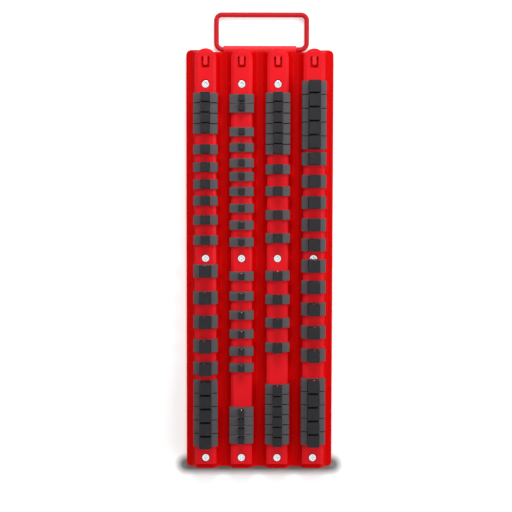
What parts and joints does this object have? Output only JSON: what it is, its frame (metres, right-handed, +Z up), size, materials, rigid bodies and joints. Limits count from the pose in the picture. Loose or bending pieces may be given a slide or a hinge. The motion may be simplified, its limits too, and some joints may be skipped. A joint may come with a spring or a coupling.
{
  "type": "socket organizer tray",
  "caption": "Flat pressed steel tray with a wire carrying handle and long raised rails, on which plastic clips with square drive posts slide to hold sockets.",
  "frame": {"origin": "middle of the footprint of tray and handle, on the surface that the tray's skirt stands on", "axes": "+X to the right across the rails, +Y along the rails towards the handle, +Z up, out of the side with the posts"},
  "size_m": [0.144, 0.4478, 0.0376],
  "materials": {
    "sheet_paint": "gloss red powder coat, dark side of the object's two reds",
    "rail_paint": "gloss red paint, brighter than the tray's",
    "wire_paint": "gloss red paint on round wire",
    "bright_zinc": "bright zinc plate",
    "clip_plastic": "charcoal moulded nylon, fine grain",
    "ball_steel": "polished bearing steel"
  },
  "bodies": {
    "tray_with_rails": {"tray": "sheet_paint", "rail_1": "rail_paint", "rail_2": "rail_paint", "rail_3": "rail_paint", "rail_4": "rail_paint", "rail_screws": "bright_zinc", "rail_nuts": "bright_zinc"},
    "handle": {"handle": "wire_paint"},
    "rail_1_parked_clips_top": {"rail_1_parked_clips_top": "clip_plastic"},
    "rail_1_clip_01": {"rail_1_clip_01": "clip_plastic"},
    "rail_1_clip_02": {"rail_1_clip_02": "clip_plastic"},
    "rail_1_clip_03": {"rail_1_clip_03": "clip_plastic"},
    "rail_1_clip_04": {"rail_1_clip_04": "clip_plastic"},
    "rail_1_clip_05": {"rail_1_clip_05": "clip_plastic"},
    "rail_1_clip_06": {"rail_1_clip_06": "clip_plastic"},
    "rail_1_clip_07": {"rail_1_clip_07": "clip_plastic"},
    "rail_1_clip_08": {"rail_1_clip_08": "clip_plastic"},
    "rail_1_clip_09": {"rail_1_clip_09": "clip_plastic"},
    "rail_1_clip_10": {"rail_1_clip_10": "clip_plastic"},
    "rail_1_clip_11": {"rail_1_clip_11": "clip_plastic"},
    "rail_1_parked_clips_bottom": {"rail_1_parked_clips_bottom": "clip_plastic"},
    "rail_2_parked_clips_top": {"rail_2_parked_clips_top": "clip_plastic"},
    "rail_2_clip_01": {"rail_2_clip_01": "clip_plastic"},
    "rail_2_clip_02": {"rail_2_clip_02": "clip_plastic"},
    "rail_2_clip_03": {"rail_2_clip_03": "clip_plastic"},
    "rail_2_clip_04": {"rail_2_clip_04": "clip_plastic"},
    "rail_2_clip_05": {"rail_2_clip_05": "clip_plastic"},
    "rail_2_clip_06": {"rail_2_clip_06": "clip_plastic"},
    "rail_2_clip_07": {"rail_2_clip_07": "clip_plastic"},
    "rail_2_clip_08": {"rail_2_clip_08": "clip_plastic"},
    "rail_2_clip_09": {"rail_2_clip_09": "clip_plastic"},
    "rail_2_clip_10": {"rail_2_clip_10": "clip_plastic"},
    "rail_2_clip_11": {"rail_2_clip_11": "clip_plastic"},
    "rail_2_clip_12": {"rail_2_clip_12": "clip_plastic"},
    "rail_2_clip_13": {"rail_2_clip_13": "clip_plastic"},
    "rail_2_clip_14": {"rail_2_clip_14": "clip_plastic"},
    "rail_2_parked_clips_bottom": {"rail_2_parked_clips_bottom": "clip_plastic"},
    "rail_3_parked_clips_top": {"rail_3_parked_clips_top": "clip_plastic"},
    "rail_3_clip_01": {"rail_3_clip_01": "clip_plastic"},
    "rail_3_clip_02": {"rail_3_clip_02": "clip_plastic"},
    "rail_3_clip_03": {"rail_3_clip_03": "clip_plastic"},
    "rail_3_clip_04": {"rail_3_clip_04": "clip_plastic"},
    "rail_3_clip_05": {"rail_3_clip_05": "clip_plastic"},
    "rail_3_clip_06": {"rail_3_clip_06": "clip_plastic"},
    "rail_3_clip_07": {"rail_3_clip_07": "clip_plastic"},
    "rail_3_clip_08": {"rail_3_clip_08": "clip_plastic"},
    "rail_3_parked_clips_bottom": {"rail_3_parked_clips_bottom": "clip_plastic"},
    "rail_4_parked_clips_top": {"rail_4_parked_clips_top": "clip_plastic"},
    "rail_4_clip_01": {"rail_4_clip_01": "clip_plastic"},
    "rail_4_clip_02": {"rail_4_clip_02": "clip_plastic"},
    "rail_4_clip_03": {"rail_4_clip_03": "clip_plastic"},
    "rail_4_clip_04": {"rail_4_clip_04": "clip_plastic"},
    "rail_4_clip_05": {"rail_4_clip_05": "clip_plastic"},
    "rail_4_clip_06": {"rail_4_clip_06": "clip_plastic"},
    "rail_4_clip_07": {"rail_4_clip_07": "clip_plastic"},
    "rail_4_clip_08": {"rail_4_clip_08": "clip_plastic"},
    "rail_4_clip_09": {"rail_4_clip_09": "clip_plastic"},
    "rail_4_clip_10": {"rail_4_clip_10": "clip_plastic"},
    "rail_4_parked_clips_bottom": {"rail_4_parked_clips_bottom": "clip_plastic"}
  },
  "joints": [
    {"name": "handle_hinge", "type": "hinge", "parent": "tray_with_rails", "child": "handle", "pos_m": [0, 0.1879, 0.00432], "axis": [1, 0, 0], "range_deg": [-90, 90]},
    {"name": "rail_1_parked_clips_top_slide", "type": "slide", "parent": "tray_with_rails", "child": "rail_1_parked_clips_top", "axis": [0, 1, 0], "range_m": [-0.00985, 0.02675]},
    {"name": "rail_1_clip_01_slide", "type": "slide", "parent": "tray_with_rails", "child": "rail_1_clip_01", "axis": [0, 1, 0], "range_m": [-0.0072, 0.00985]},
    {"name": "rail_1_clip_02_slide", "type": "slide", "parent": "tray_with_rails", "child": "rail_1_clip_02", "axis": [0, 1, 0], "range_m": [-0.0067, 0.0072]},
    {"name": "rail_1_clip_03_slide", "type": "slide", "parent": "tray_with_rails", "child": "rail_1_clip_03", "axis": [0, 1, 0], "range_m": [-0.0062, 0.0067]},
    {"name": "rail_1_clip_04_slide", "type": "slide", "parent": "tray_with_rails", "child": "rail_1_clip_04", "axis": [0, 1, 0], "range_m": [-0.0087, 0.0062]},
    {"name": "rail_1_clip_05_slide", "type": "slide", "parent": "tray_with_rails", "child": "rail_1_clip_05", "axis": [0, 1, 0], "range_m": [-0.0097, 0.0087]},
    {"name": "rail_1_clip_06_slide", "type": "slide", "parent": "tray_with_rails", "child": "rail_1_clip_06", "axis": [0, 1, 0], "range_m": [-0.01888, 0.0097]},
    {"name": "rail_1_clip_07_slide", "type": "slide", "parent": "tray_with_rails", "child": "rail_1_clip_07", "axis": [0, 1, 0], "range_m": [-0.01325, 0.01888]},
    {"name": "rail_1_clip_08_slide", "type": "slide", "parent": "tray_with_rails", "child": "rail_1_clip_08", "axis": [0, 1, 0], "range_m": [-0.01075, 0.01325]},
    {"name": "rail_1_clip_09_slide", "type": "slide", "parent": "tray_with_rails", "child": "rail_1_clip_09", "axis": [0, 1, 0], "range_m": [-0.01075, 0.01075]},
    {"name": "rail_1_clip_10_slide", "type": "slide", "parent": "tray_with_rails", "child": "rail_1_clip_10", "axis": [0, 1, 0], "range_m": [-0.00925, 0.01075]},
    {"name": "rail_1_clip_11_slide", "type": "slide", "parent": "tray_with_rails", "child": "rail_1_clip_11", "axis": [0, 1, 0], "range_m": [-0.00537, 0.00925]},
    {"name": "rail_1_parked_clips_bottom_slide", "type": "slide", "parent": "tray_with_rails", "child": "rail_1_parked_clips_bottom", "axis": [0, 1, 0], "range_m": [-0.01765, 0.00537]},
    {"name": "rail_2_parked_clips_top_slide", "type": "slide", "parent": "tray_with_rails", "child": "rail_2_parked_clips_top", "axis": [0, 1, 0], "range_m": [-0.01375, 0.0279]},
    {"name": "rail_2_clip_01_slide", "type": "slide", "parent": "tray_with_rails", "child": "rail_2_clip_01", "axis": [0, 1, 0], "range_m": [-0.006, 0.01375]},
    {"name": "rail_2_clip_02_slide", "type": "slide", "parent": "tray_with_rails", "child": "rail_2_clip_02", "axis": [0, 1, 0], "range_m": [-0.006, 0.006]},
    {"name": "rail_2_clip_03_slide", "type": "slide", "parent": "tray_with_rails", "child": "rail_2_clip_03", "axis": [0, 1, 0], "range_m": [-0.004, 0.006]},
    {"name": "rail_2_clip_04_slide", "type": "slide", "parent": "tray_with_rails", "child": "rail_2_clip_04", "axis": [0, 1, 0], "range_m": [-0.0055, 0.004]},
    {"name": "rail_2_clip_05_slide", "type": "slide", "parent": "tray_with_rails", "child": "rail_2_clip_05", "axis": [0, 1, 0], "range_m": [-0.007, 0.0055]},
    {"name": "rail_2_clip_06_slide", "type": "slide", "parent": "tray_with_rails", "child": "rail_2_clip_06", "axis": [0, 1, 0], "range_m": [-0.0075, 0.007]},
    {"name": "rail_2_clip_07_slide", "type": "slide", "parent": "tray_with_rails", "child": "rail_2_clip_07", "axis": [0, 1, 0], "range_m": [-0.0075, 0.0075]},
    {"name": "rail_2_clip_08_slide", "type": "slide", "parent": "tray_with_rails", "child": "rail_2_clip_08", "axis": [0, 1, 0], "range_m": [-0.024, 0.0075]},
    {"name": "rail_2_clip_09_slide", "type": "slide", "parent": "tray_with_rails", "child": "rail_2_clip_09", "axis": [0, 1, 0], "range_m": [-0.0105, 0.024]},
    {"name": "rail_2_clip_10_slide", "type": "slide", "parent": "tray_with_rails", "child": "rail_2_clip_10", "axis": [0, 1, 0], "range_m": [-0.0095, 0.0105]},
    {"name": "rail_2_clip_11_slide", "type": "slide", "parent": "tray_with_rails", "child": "rail_2_clip_11", "axis": [0, 1, 0], "range_m": [-0.0095, 0.0095]},
    {"name": "rail_2_clip_12_slide", "type": "slide", "parent": "tray_with_rails", "child": "rail_2_clip_12", "axis": [0, 1, 0], "range_m": [-0.008, 0.0095]},
    {"name": "rail_2_clip_13_slide", "type": "slide", "parent": "tray_with_rails", "child": "rail_2_clip_13", "axis": [0, 1, 0], "range_m": [-0.007, 0.008]},
    {"name": "rail_2_clip_14_slide", "type": "slide", "parent": "tray_with_rails", "child": "rail_2_clip_14", "axis": [0, 1, 0], "range_m": [-0.03445, 0.007]},
    {"name": "rail_2_parked_clips_bottom_slide", "type": "slide", "parent": "tray_with_rails", "child": "rail_2_parked_clips_bottom", "axis": [0, 1, 0], "range_m": [-0.0207, 0.03445]},
    {"name": "rail_3_parked_clips_top_slide", "type": "slide", "parent": "tray_with_rails", "child": "rail_3_parked_clips_top", "axis": [0, 1, 0], "range_m": [-0.00915, 0.02645]},
    {"name": "rail_3_clip_01_slide", "type": "slide", "parent": "tray_with_rails", "child": "rail_3_clip_01", "axis": [0, 1, 0], "range_m": [-0.0112, 0.00915]},
    {"name": "rail_3_clip_02_slide", "type": "slide", "parent": "tray_with_rails", "child": "rail_3_clip_02", "axis": [0, 1, 0], "range_m": [-0.0132, 0.0112]},
    {"name": "rail_3_clip_03_slide", "type": "slide", "parent": "tray_with_rails", "child": "rail_3_clip_03", "axis": [0, 1, 0], "range_m": [-0.0127, 0.0132]},
    {"name": "rail_3_clip_04_slide", "type": "slide", "parent": "tray_with_rails", "child": "rail_3_clip_04", "axis": [0, 1, 0], "range_m": [-0.0267, 0.0127]},
    {"name": "rail_3_clip_05_slide", "type": "slide", "parent": "tray_with_rails", "child": "rail_3_clip_05", "axis": [0, 1, 0], "range_m": [-0.0132, 0.0267]},
    {"name": "rail_3_clip_06_slide", "type": "slide", "parent": "tray_with_rails", "child": "rail_3_clip_06", "axis": [0, 1, 0], "range_m": [-0.0132, 0.0132]},
    {"name": "rail_3_clip_07_slide", "type": "slide", "parent": "tray_with_rails", "child": "rail_3_clip_07", "axis": [0, 1, 0], "range_m": [-0.0142, 0.0132]},
    {"name": "rail_3_clip_08_slide", "type": "slide", "parent": "tray_with_rails", "child": "rail_3_clip_08", "axis": [0, 1, 0], "range_m": [-0.03135, 0.0142]},
    {"name": "rail_3_parked_clips_bottom_slide", "type": "slide", "parent": "tray_with_rails", "child": "rail_3_parked_clips_bottom", "axis": [0, 1, 0], "range_m": [-0.01975, 0.03135]},
    {"name": "rail_4_parked_clips_top_slide", "type": "slide", "parent": "tray_with_rails", "child": "rail_4_parked_clips_top", "axis": [0, 1, 0], "range_m": [-0.00283, 0.0152]},
    {"name": "rail_4_clip_01_slide", "type": "slide", "parent": "tray_with_rails", "child": "rail_4_clip_01", "axis": [0, 1, 0], "range_m": [-0.00875, 0.00283]},
    {"name": "rail_4_clip_02_slide", "type": "slide", "parent": "tray_with_rails", "child": "rail_4_clip_02", "axis": [0, 1, 0], "range_m": [-0.00775, 0.00875]},
    {"name": "rail_4_clip_03_slide", "type": "slide", "parent": "tray_with_rails", "child": "rail_4_clip_03", "axis": [0, 1, 0], "range_m": [-0.00875, 0.00775]},
    {"name": "rail_4_clip_04_slide", "type": "slide", "parent": "tray_with_rails", "child": "rail_4_clip_04", "axis": [0, 1, 0], "range_m": [-0.00675, 0.00875]},
    {"name": "rail_4_clip_05_slide", "type": "slide", "parent": "tray_with_rails", "child": "rail_4_clip_05", "axis": [0, 1, 0], "range_m": [-0.00775, 0.00675]},
    {"name": "rail_4_clip_06_slide", "type": "slide", "parent": "tray_with_rails", "child": "rail_4_clip_06", "axis": [0, 1, 0], "range_m": [-0.00775, 0.00775]},
    {"name": "rail_4_clip_07_slide", "type": "slide", "parent": "tray_with_rails", "child": "rail_4_clip_07", "axis": [0, 1, 0], "range_m": [-0.00875, 0.00775]},
    {"name": "rail_4_clip_08_slide", "type": "slide", "parent": "tray_with_rails", "child": "rail_4_clip_08", "axis": [0, 1, 0], "range_m": [-0.00975, 0.00875]},
    {"name": "rail_4_clip_09_slide", "type": "slide", "parent": "tray_with_rails", "child": "rail_4_clip_09", "axis": [0, 1, 0], "range_m": [-0.00975, 0.00975]},
    {"name": "rail_4_clip_10_slide", "type": "slide", "parent": "tray_with_rails", "child": "rail_4_clip_10", "axis": [0, 1, 0], "range_m": [-0.01657, 0.00975]},
    {"name": "rail_4_parked_clips_bottom_slide", "type": "slide", "parent": "tray_with_rails", "child": "rail_4_parked_clips_bottom", "axis": [0, 1, 0], "range_m": [-0.01945, 0.01657]}
  ]
}
